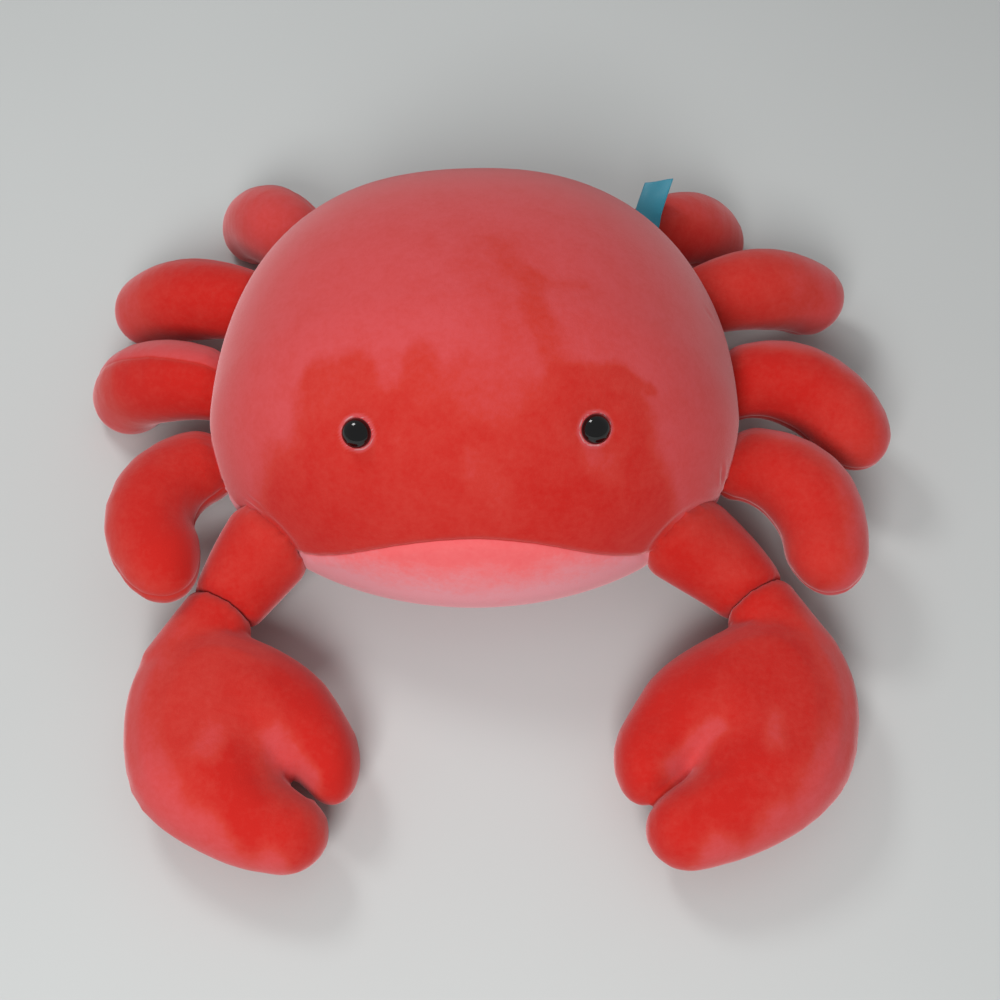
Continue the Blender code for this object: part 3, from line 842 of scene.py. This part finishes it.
def make_leg(name, settings, material, seed):
    piece, points = limb_skin(name, 12, settings, material)
    mesh = filled(piece, np.maximum(sewn_on(points), resting(points)), settings.fullness, settings)
    points = points_of(mesh)
    run, radius, angle = leg_places(points, name)
    middle = leg_frame(name).translation
    axis = leg_frame(name).to_3x3() @ Vector((1, 0, 0))
    distance = body_distance(points)
    points = gather(points, middle, axis, distance, 1.1 * MM, 11 * MM, 13, seed)
    points = tucked(points, distance, SEAM_TUCK)
    put_points(mesh, points)
    twist, far_nap, root_nap, tip_nap_and_light, rim_sheen_nap = LEGS[name][5:]
    offset = radius * np.sin(angle - math.radians(twist))
    offset += 0.5 * MM * waves(points, 0.012, seed + 70)
    push_out(mesh, -0.5 * MM * bell(offset, 2.2 * MM) * (distance > 2 * MM))
    soft_hollows(mesh, 0.7 * MM, 0.03, seed + 40)
    put_attribute(mesh, "seam", offset)
    # each panel's pile runs its own way; the tip and the outer rim take their own naps, paler as painted
    # sheen and deeper on a shaded tip as painted shade
    share = np.clip(run / LEG_LENGTH, 0, 1) + 0.12 * waves(points, 0.018, seed + 80)
    side = -1 if "left" in name else 1
    far = 1 / (1 + np.exp(-offset * side / (0.6 * MM)))
    rim = np.clip((np.cos(angle) + 0.25 * waves(points, 0.015, seed + 90) - 0.25) / 0.7, 0, 1)
    tip = np.clip((share - 0.35) / 0.6, 0, 1)
    near = root_nap + (tip_nap_and_light - root_nap) * tip**1.3
    nap_and_light = near + (far_nap - near) * far
    nap_and_light += (rim_sheen_nap - nap_and_light) * rim**1.4 * (rim_sheen_nap > 0)
    put_attribute(mesh, "nap_and_light", nap_and_light)
    finish_cushion(piece, name)


def make_arm(side, settings, material, seed):
    name = f"arm_{side}"
    piece, points = limb_skin(name, 12, settings, material)
    held = np.maximum(sewn_on(points), np.clip(1.2 + past_wrist(points, side) / (4 * MM), 0, 1))
    mesh = filled(piece, held, 0.3 * settings.fullness, settings)
    points = points_of(mesh)
    root = body_point(math.radians(ARMS[side][0]), 0)
    axis = (wrist(side) - root).normalized()
    forward = heading(ARMS[side][3])
    distance = body_distance(points)
    points = gather(points, root, axis, distance, 0.9 * MM, 9 * MM, 17, seed)
    points = tucked(points, distance, SEAM_TUCK)
    points = gather(points, wrist(side), forward, -past_wrist(points, side), 0.9 * MM, 8 * MM, 12, seed + 3)
    put_points(mesh, points)
    soft_hollows(mesh, 0.7 * MM, 0.03, seed + 20)
    points = points_of(mesh)
    # the arm's seam runs underneath
    put_attribute(mesh, "seam", np.where(points[:, 2] < 14 * MM, 1, 20) * 5 * MM)
    near = np.exp(-np.maximum(distance, 0) / (7 * MM))
    # paler where the arm faces up: painted sheen of the light from above
    high = np.clip((normals_of(mesh)[:, 2] - 0.5) * 2, 0, 1)
    put_attribute(mesh, "nap_and_light", 0.08 + 0.3 * near + 0.12 * high + 0.22 * waves(points, 0.025, seed))
    finish_cushion(piece, name)


# How the claws' pile lies, from the wrist: forward, and across towards the bite. The naps follow the light as
# well as the brushing: the pale strokes at the claw's end and outer edge are painted sheen and front light,
# and naps lowered on the shaded sides are painted shade. Each stroke has a start and an end in mm, a half
# width and a nap, and how far its edge fades.
CLAW_BRUSHING_AND_LIGHT = (
    ((38, -16), (76, -10), 14, 0.58, 18),
    ((76, -10), (106, 25), 12, 0.7, 18),
    ((106, 25), (122, 62), 13, 0.9, 16),
    ((120, 60), (114, 106), 14, 0.85, 14),
    ((10, -14), (12, 26), 7, 0.1, 9),
    ((20, 56), (50, 108), 14, 0.02, 14),
    ((80, 62), (98, 80), 11, 0.0, 13),
    ((90, 98), (98, 112), 8, 0.08, 10),
    ((57, 68), (62, 90), 6.5, 0.8, 8),
    ((70, 42), (76, 46), 6, 0.6, 12),
)


def make_claw(side, settings, material, seed):
    name = f"claw_{side}"
    piece, points = limb_skin(name, 10, settings, material)
    held = np.maximum(np.clip(1.2 - past_wrist(points, side) / (4 * MM), 0, 1), resting(points))
    mesh = filled(piece, held, 0.6 * settings.fullness, settings)
    points = points_of(mesh)
    forward = heading(ARMS[side][3])
    ahead = past_wrist(points, side)
    points = gather(points, wrist(side), forward, ahead, 0.9 * MM, 9 * MM, 14, seed)
    put_points(mesh, points)
    offset = points[:, 2] - CLAW_SEAM
    push_out(mesh, -0.4 * MM * bell(offset, 3 * MM))
    soft_hollows(mesh, 0.9 * MM, 0.04, seed + 30)
    put_attribute(mesh, "seam", offset)
    across = np.array(forward.cross(Vector((0, 0, 1)))) * (1 if side == "right" else -1)
    plan = np.stack([ahead, (points - np.array(wrist(side))) @ across], 1) / MM
    nap_and_light = (0.3 if side == "left" else 0.14) + 0.12 * waves(points, 0.03, seed)
    # the strokes paint the brushed pile together with painted sheen, front light and shade
    put_attribute(mesh, "nap_and_light", brushed(plan, CLAW_BRUSHING_AND_LIGHT, nap_and_light, seed + 50))
    finish_cushion(piece, name)


def make_eye(name, settings, material):
    """A turned safety eye: a low dome with a rounded rim, a collar and its ribbed stem."""
    middle, outward = eye_place(name)
    radius = settings.eye_size / 2
    back = -1.2 * MM
    profile = [(radius * math.cos(a), back + 0.8 * MM + 6.5 * MM * math.sin(a))
               for a in [math.radians(90 - 5 * step) for step in range(19)]]
    stem, groove, tip = 2.5 * MM, 2.2 * MM, back - 15 * MM
    profile += [(radius - 0.1 * MM, back + 0.3 * MM), (radius - 0.5 * MM, back), (stem, back)]
    for ring in range(9):
        top = back - (1 + 1.5 * ring) * MM
        profile += [(stem, top), (groove, top - 0.5 * MM), (groove, top - 1.0 * MM)]
    profile += [(stem, tip + 0.4 * MM), (2.0 * MM, tip), (0, tip)]
    bm = bmesh.new()
    verts = [bm.verts.new((r if r > 1e-6 else 0, 0, z)) for r, z in profile]
    edges = [bm.edges.new(pair) for pair in zip(verts, verts[1:])]
    bmesh.ops.spin(bm, geom=verts + edges, cent=(0, 0, 0), axis=(0, 0, 1), angle=2 * math.pi, steps=48,
                   use_merge=True)
    bmesh.ops.remove_doubles(bm, verts=bm.verts, dist=0.01 * MM)
    bmesh.ops.recalc_face_normals(bm, faces=bm.faces)
    placed = Matrix.Translation(middle) @ outward.to_track_quat("Z", "Y").to_matrix().to_4x4()
    piece = built(f"{name}_dome", bm, placed, material)
    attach(piece, "root")
    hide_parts(name)


LABEL_TURN = math.radians(51.5)
LABEL_CLIMB = math.radians(8.5)
LABEL_SKEW = math.radians(18)
LABEL_SEWN = 6 * MM
LABEL_LENGTH = 34 * MM
LABEL_BEND = 14 * MM
LABEL_LIFT = math.radians(31)
LABEL_ROLL = math.radians(30)


def label_line():
    """The folded ribbon's side view: out along the upper layer, round the fold and back, with its run."""
    steps = 40
    stride = (LABEL_SEWN + LABEL_LENGTH) / steps
    place = Vector((-LABEL_SEWN, 0))
    rows = []
    for step in range(steps + 1):
        out = max(step * stride - LABEL_SEWN, 0)
        lift = LABEL_LIFT * min(out / LABEL_BEND, 1) + math.radians(7) * math.sin(out / LABEL_LENGTH * 5)
        across = Vector((-math.sin(lift), math.cos(lift)))
        gap = 0.45 * MM + 0.35 * MM * math.sin(math.pi * min(out / LABEL_LENGTH, 1))
        rows.append((place.copy(), across, gap))
        place += Vector((math.cos(lift), math.sin(lift))) * stride
    upper = [place + across * gap for place, across, gap in rows]
    lower = [place - across * gap for place, across, gap in reversed(rows)]
    end, across, gap = rows[-1]
    ahead = Vector((across.y, -across.x))
    fold = [end + (across * math.cos(a) + ahead * 1.3 * math.sin(a)) * gap
            for a in [math.radians(22.5 * k) for k in range(1, 8)]]
    return upper + fold + lower


def make_label(settings, material):
    line = label_line()
    runs = lengthwise(line).tolist()
    bm = bmesh.new()
    chart = bm.loops.layers.uv.new("ribbon")
    columns = 24
    rows = []
    for point, run in zip(line, runs):
        row = []
        for column in range(columns + 1):
            across = settings.label_width * (column / columns - 0.5)
            ripple = 0.35 * MM * math.sin(across / settings.label_width * 5 + run * 90)
            fade = min(max(point.x, 0) / (12 * MM), 1)
            roll = LABEL_ROLL * fade
            place = (point.x, across * math.cos(roll), point.y + ripple * fade - across * math.sin(roll))
            row.append((bm.verts.new(place), (across, run)))
        rows.append(row)
    for low, high in zip(rows, rows[1:]):
        for a, b, c, d in zip(low, low[1:], high[1:], high):
            face = bm.faces.new([corner[0] for corner in (a, b, c, d)])
            for loop, corner in zip(face.loops, (a, b, c, d)):
                loop[chart].uv = corner[1]
    outward = body_slope(np.array([body_point(LABEL_TURN, LABEL_CLIMB)]))[0]
    turn = math.atan2(outward[1], outward[0]) + LABEL_SKEW
    placed = Matrix.Translation(body_point(LABEL_TURN, LABEL_CLIMB)) @ Matrix.Rotation(turn, 4, "Z")
    piece = built("ribbon_label", bm, placed, material)
    wall = piece.modifiers.new("ribbon", "SOLIDIFY")
    wall.thickness = 0.25 * MM
    wall.offset = 0
    evaluated(piece)
    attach(piece, "root")
    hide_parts("label")


# The opening through which the crab was stuffed, turned round the body from the right.
CLOSED_FROM = math.radians(79)
CLOSED_TO = math.radians(105)


def stitch_tree():
    """Lays ladder stitches along a path: bars of thread across the seam, each bowed over the cloth."""
    tree = bpy.data.node_groups.new("ladder_stitches", "GeometryNodeTree")
    tree.interface.new_socket("Path", in_out="INPUT", socket_type="NodeSocketGeometry")
    for name in ("Spacing", "Length", "Thickness"):
        tree.interface.new_socket(name, in_out="INPUT", socket_type="NodeSocketFloat")
    tree.interface.new_socket("Thread", in_out="INPUT", socket_type="NodeSocketMaterial")
    tree.interface.new_socket("Stitches", in_out="OUTPUT", socket_type="NodeSocketGeometry")
    given = add_node(tree, "NodeGroupInput").outputs
    path = add_node(tree, "GeometryNodeMeshToCurve", links={"Mesh": given["Path"]}).outputs["Curve"]
    spots = add_node(tree, "GeometryNodeResampleCurve", {"mode": "LENGTH"},
                     links={"Curve": path, "Length": given["Spacing"]}).outputs["Curve"]
    shares = (("Length", 0.5), ("Length", -0.5), ("Length", 0.6), ("Thickness", 0.5))
    half, back, bow, ply = [add_node(tree, "ShaderNodeMath", {"operation": "MULTIPLY"}, {1: share},
                                     {0: given[size]}).outputs[0] for size, share in shares]
    start = add_node(tree, "ShaderNodeCombineXYZ", links={"X": back}).outputs[0]
    middle = add_node(tree, "ShaderNodeCombineXYZ", links={"Z": bow}).outputs[0]
    end = add_node(tree, "ShaderNodeCombineXYZ", links={"X": half}).outputs[0]
    bar = add_node(tree, "GeometryNodeCurveQuadraticBezier", values={"Resolution": 5},
                   links={"Start": start, "Middle": middle, "End": end}).outputs["Curve"]
    round_ply = add_node(tree, "GeometryNodeCurvePrimitiveCircle", values={"Resolution": 6},
                         links={"Radius": ply}).outputs["Curve"]
    stitch = add_node(tree, "GeometryNodeCurveToMesh", values={"Fill Caps": True},
                      links={"Curve": bar, "Profile Curve": round_ply}).outputs["Mesh"]
    outward = add_node(tree, "GeometryNodeInputNamedAttribute", {"data_type": "FLOAT_VECTOR"},
                       {"Name": "outward"}).outputs["Attribute"]
    along = add_node(tree, "GeometryNodeInputTangent").outputs["Tangent"]
    across = add_node(tree, "ShaderNodeVectorMath", {"operation": "CROSS_PRODUCT"},
                      links={0: along, 1: outward}).outputs[0]
    turned = add_node(tree, "FunctionNodeAxesToRotation", {"primary_axis": "Z", "secondary_axis": "X"},
                      links={"Primary Axis": outward, "Secondary Axis": across}).outputs["Rotation"]
    rows = add_node(tree, "GeometryNodeInstanceOnPoints",
                    links={"Points": spots, "Instance": stitch, "Rotation": turned}).outputs["Instances"]
    real = add_node(tree, "GeometryNodeRealizeInstances", links={"Geometry": rows}).outputs["Geometry"]
    done = add_node(tree, "GeometryNodeSetMaterial", links={"Geometry": real, "Material": given["Thread"]})
    add_node(tree, "NodeGroupOutput", links={"Stitches": done.outputs["Geometry"]})
    return tree


def make_stitches(settings, material):
    """The ladder stitches that close the opening at the back, where the crab was stuffed."""
    steps = 60
    turns = [CLOSED_FROM + (CLOSED_TO - CLOSED_FROM) * step / steps for step in range(steps + 1)]
    points = [body_point(turn, waist_climb(turn), -0.9 * MM) for turn in turns]
    mesh = bpy.data.meshes.new("closed_opening")
    mesh.from_pydata([tuple(point) for point in points], [(step, step + 1) for step in range(steps)], [])
    outward = body_outward(np.array(points)).ravel()
    mesh.attributes.new("outward", "FLOAT_VECTOR", "POINT").data.foreach_set("vector", outward)
    piece = bpy.data.objects.new("closing_stitches", mesh)
    bpy.context.scene.collection.objects.link(piece)
    sewn = piece.modifiers.new("sewn", "NODES")
    sewn.node_group = stitch_tree()
    sockets = {item.name: item.identifier for item in sewn.node_group.interface.items_tree}
    sewn[sockets["Spacing"]] = settings.stitch_spacing
    sewn[sockets["Length"]] = 2.4 * MM
    sewn[sockets["Thickness"]] = 0.5 * MM
    sewn[sockets["Thread"]] = material
    evaluated(piece)
    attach(piece, "root")


def floor_material():
    """Matt painted board: pale grey, with the faint mottle of a roller."""
    material, tree, shader = new_material("painted_board")
    place = add_node(tree, "ShaderNodeTexCoord").outputs["Object"]
    mottle = add_node(tree, "ShaderNodeTexNoise", values={"Scale": 3.0, "Detail": 3.0},
                      links={"Vector": place})
    shade = add_node(tree, "ShaderNodeMix", {"data_type": "RGBA"}, {6: srgb("#c3c6c5"), 7: srgb("#c9cccb")},
                     {0: mottle.outputs["Fac"]})
    set_inputs(tree, shader, {"Roughness": 0.9, "Specular IOR Level": 0.1},
               {"Base Color": shade.outputs[2]})
    return material


def make_floor():
    bm = bmesh.new()
    bmesh.ops.create_grid(bm, x_segments=8, y_segments=8, size=4)
    floor = built("pale_floor", bm, Matrix(), floor_material())


def aimed(name, data, place, target):
    """A camera or a lamp at its place, turned to face a target."""
    piece = bpy.data.objects.new(name, data)
    bpy.context.scene.collection.objects.link(piece)
    piece.location = place
    piece.rotation_euler = (Vector(target) - Vector(place)).to_track_quat("-Z", "Y").to_euler()
    return piece


CAMERA_PLACE = (13.75 * MM, -499.0 * MM, 779.9 * MM)
CAMERA_TARGET = (13.8 * MM, -32.6 * MM, 33.6 * MM)


def make_camera():
    data = bpy.data.cameras.new("camera")
    data.sensor_width = 36
    data.lens = 57.6
    data.clip_start = 0.01
    bpy.context.scene.camera = aimed("camera", data, CAMERA_PLACE, CAMERA_TARGET)


def make_lamp(name, place, size, energy, seen):
    """A square soft box that faces the crab. Only a seen one shows in the polished eyes."""
    data = bpy.data.lights.new(name, "AREA")
    data.shape = "SQUARE"
    data.size = size
    data.energy = energy
    aimed(name, data, place, (0, 0, 0.06)).visible_glossy = seen


def make_light(settings):
    world = bpy.data.worlds.new("soft_room")
    world.use_nodes = True
    back = world.node_tree.nodes["Background"]
    back.inputs["Color"].default_value = srgb("#f6f6f7")
    back.inputs["Strength"].default_value = settings.room_light
    bpy.context.scene.world = world
    make_lamp("window", (-0.18, -1.2, 1.1), 0.55, settings.window_light, False)
    make_lamp("ceiling", (0.1, 0.35, 1.6), 1.4, settings.ceiling_light, False)
    make_lamp("bulb", (-0.52, 0.5, 1.1), 0.33, settings.bulb_light, True)
    bpy.context.scene.view_settings.view_transform = "Standard"


class CrabCushionSettings(bpy.types.PropertyGroup):
    """Sizes of the stuffed pieces."""

    body_columns: bpy.props.IntProperty(
        name="Body columns", description="Mesh columns round the body's skin", default=540)
    body_voxel: bpy.props.FloatProperty(
        name="Body mesh", description="Size of the body's mesh cells while it is stuffed",
        default=4.5 * MM, unit="LENGTH")
    limb_voxel: bpy.props.FloatProperty(
        name="Limb mesh", description="Size of the limbs' mesh cells", default=3 * MM, unit="LENGTH")
    pressure: bpy.props.FloatProperty(
        name="Stuffing", description="Pressure of the stuffing under the cloth", default=4.0)
    swell: bpy.props.FloatProperty(
        name="Swell", description="Most that the stuffing pushes the cloth out",
        default=2 * MM, unit="LENGTH")
    fullness: bpy.props.FloatProperty(
        name="Fullness", description="How far the stuffing fills out the limbs",
        default=1.8 * MM, unit="LENGTH")
    seam_depth: bpy.props.FloatProperty(
        name="Seam depth", description="Depth of the waist seam", default=1.4 * MM, unit="LENGTH")
    pucker_spacing: bpy.props.FloatProperty(
        name="Pucker spacing", description="Distance between the puckers of the waist seam",
        default=11 * MM, unit="LENGTH")


class CrabTrimSettings(bpy.types.PropertyGroup):
    """Sizes of the eyes, the label and the stitches."""

    eye_size: bpy.props.FloatProperty(
        name="Eye", description="Width of a safety eye", default=15 * MM, unit="LENGTH")
    label_width: bpy.props.FloatProperty(
        name="Label width", description="Width of the ribbon", default=19 * MM, unit="LENGTH")
    stitch_spacing: bpy.props.FloatProperty(
        name="Stitch spacing", description="Distance between the closing stitches",
        default=4 * MM, unit="LENGTH")


class CrabColourSettings(bpy.types.PropertyGroup):
    """Colours of the cloth and the thread."""

    red_deep: bpy.props.StringProperty(name="Red, pile away", description="sRGB hex", default="#bd241e")
    red_lying: bpy.props.StringProperty(name="Red, pile even", description="sRGB hex", default="#c23830")
    red_lifted: bpy.props.StringProperty(name="Red, pile back", description="sRGB hex", default="#c94c4e")
    red_pressed: bpy.props.StringProperty(name="Red, pile flat", description="sRGB hex", default="#c9989b")
    pink_deep: bpy.props.StringProperty(name="Pink, pile away", description="sRGB hex", default="#e85f62")
    pink_lying: bpy.props.StringProperty(name="Pink, pile even", description="sRGB hex", default="#ea6c6e")
    pink_lifted: bpy.props.StringProperty(name="Pink, pile back", description="sRGB hex", default="#de929a")
    pink_pressed: bpy.props.StringProperty(name="Pink, pile flat", description="sRGB hex", default="#e0b4b8")
    thread: bpy.props.StringProperty(name="Thread", description="sRGB hex", default="#a81a18")


class CrabStageSettings(bpy.types.PropertyGroup):
    """Light."""

    room_light: bpy.props.FloatProperty(name="Room", description="Strength of the room's light", default=0.34)
    window_light: bpy.props.FloatProperty(
        name="Window", description="Power of the window", default=18.0, unit="POWER")
    ceiling_light: bpy.props.FloatProperty(
        name="Ceiling", description="Power of the ceiling", default=1.5, unit="POWER")
    bulb_light: bpy.props.FloatProperty(
        name="Bulb", description="Power of the lamp behind the crab", default=4.2, unit="POWER")


def velvet_of(colour):
    """The red or the pink velvet, made once from the colours in the settings."""
    name = f"{colour}_velvet_pile"
    colours = bpy.context.scene.crab_colours
    shades = [getattr(colours, f"{colour}_{lie}") for lie in ("deep", "lying", "lifted", "pressed")]
    return bpy.data.materials.get(name) or velvet(name, *shades)


class CRAB_OT_body(bpy.types.Operator):
    """Makes the dome and the belly, sewn together at the waist"""

    bl_idname = "crab.body"
    bl_label = "Body"

    def execute(self, context):
        scene = context.scene
        make_dome(scene.crab_cushions, velvet_of("red"))
        make_belly(scene.crab_cushions, velvet_of("pink"))
        make_stitches(scene.crab_trim, thread("spun_polyester_thread", scene.crab_colours.thread))
        return {"FINISHED"}


class CRAB_OT_legs(bpy.types.Operator):
    """Makes the eight curled legs"""

    bl_idname = "crab.legs"
    bl_label = "Legs"

    def execute(self, context):
        for seed, name in enumerate(LEGS):
            make_leg(name, context.scene.crab_cushions, velvet_of("red"), seed)
        return {"FINISHED"}


class CRAB_OT_arms(bpy.types.Operator):
    """Makes the two arms and their claws"""

    bl_idname = "crab.arms"
    bl_label = "Arms and claws"

    def execute(self, context):
        for seed, side in enumerate(ARMS):
            make_arm(side, context.scene.crab_cushions, velvet_of("red"), seed)
            make_claw(side, context.scene.crab_cushions, velvet_of("red"), seed + 2)
        return {"FINISHED"}


class CRAB_OT_eyes(bpy.types.Operator):
    """Makes the safety eyes and finishes the washers that lock them inside the dome"""

    bl_idname = "crab.eyes"
    bl_label = "Eyes"

    def execute(self, context):
        plastic = eye_plastic()
        nylon = washer_nylon()
        for name in EYE_TURNS:
            make_eye(name, context.scene.crab_trim, plastic)
            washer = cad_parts[name.replace("eye", "eye_washer")]
            washer.data.materials.clear()
            washer.data.materials.append(nylon)
        return {"FINISHED"}


class CRAB_OT_label(bpy.types.Operator):
    """Makes the folded ribbon label"""

    bl_idname = "crab.label"
    bl_label = "Label"

    def execute(self, context):
        make_label(context.scene.crab_trim, label_satin())
        return {"FINISHED"}


class CRAB_OT_stage(bpy.types.Operator):
    """Makes the floor, the light and the camera"""

    bl_idname = "crab.stage"
    bl_label = "Stage"

    def execute(self, context):
        make_floor()
        make_camera()
        make_light(context.scene.crab_stage)
        return {"FINISHED"}


STEPS = ("body", "legs", "arms", "eyes", "label", "stage")
SETTINGS = {
    "crab_cushions": CrabCushionSettings,
    "crab_trim": CrabTrimSettings,
    "crab_colours": CrabColourSettings,
    "crab_stage": CrabStageSettings,
}


class CRAB_PT_panel(bpy.types.Panel):
    """Lists the crab's pieces and their sizes"""

    bl_idname = "CRAB_PT_panel"
    bl_label = "Plush Crab"
    bl_space_type = "VIEW_3D"
    bl_region_type = "UI"
    bl_category = "Plush Crab"

    def draw(self, context):
        for name, group in SETTINGS.items():
            box = self.layout.box()
            for key in group.__annotations__:
                box.prop(getattr(context.scene, name), key)
        for step in STEPS:
            self.layout.operator(f"crab.{step}")


CLASSES = (
    *SETTINGS.values(),
    CRAB_OT_body,
    CRAB_OT_legs,
    CRAB_OT_arms,
    CRAB_OT_eyes,
    CRAB_OT_label,
    CRAB_OT_stage,
    CRAB_PT_panel,
)


def register():
    for cls in CLASSES:
        bpy.utils.register_class(cls)
    for name, group in SETTINGS.items():
        setattr(bpy.types.Scene, name, bpy.props.PointerProperty(type=group))


def unregister():
    for name in SETTINGS:
        delattr(bpy.types.Scene, name)
    for cls in reversed(CLASSES):
        bpy.utils.unregister_class(cls)


def main():
    register()
    for step in STEPS:
        getattr(bpy.ops.crab, step)()


if __name__ == "__main__":
    main()
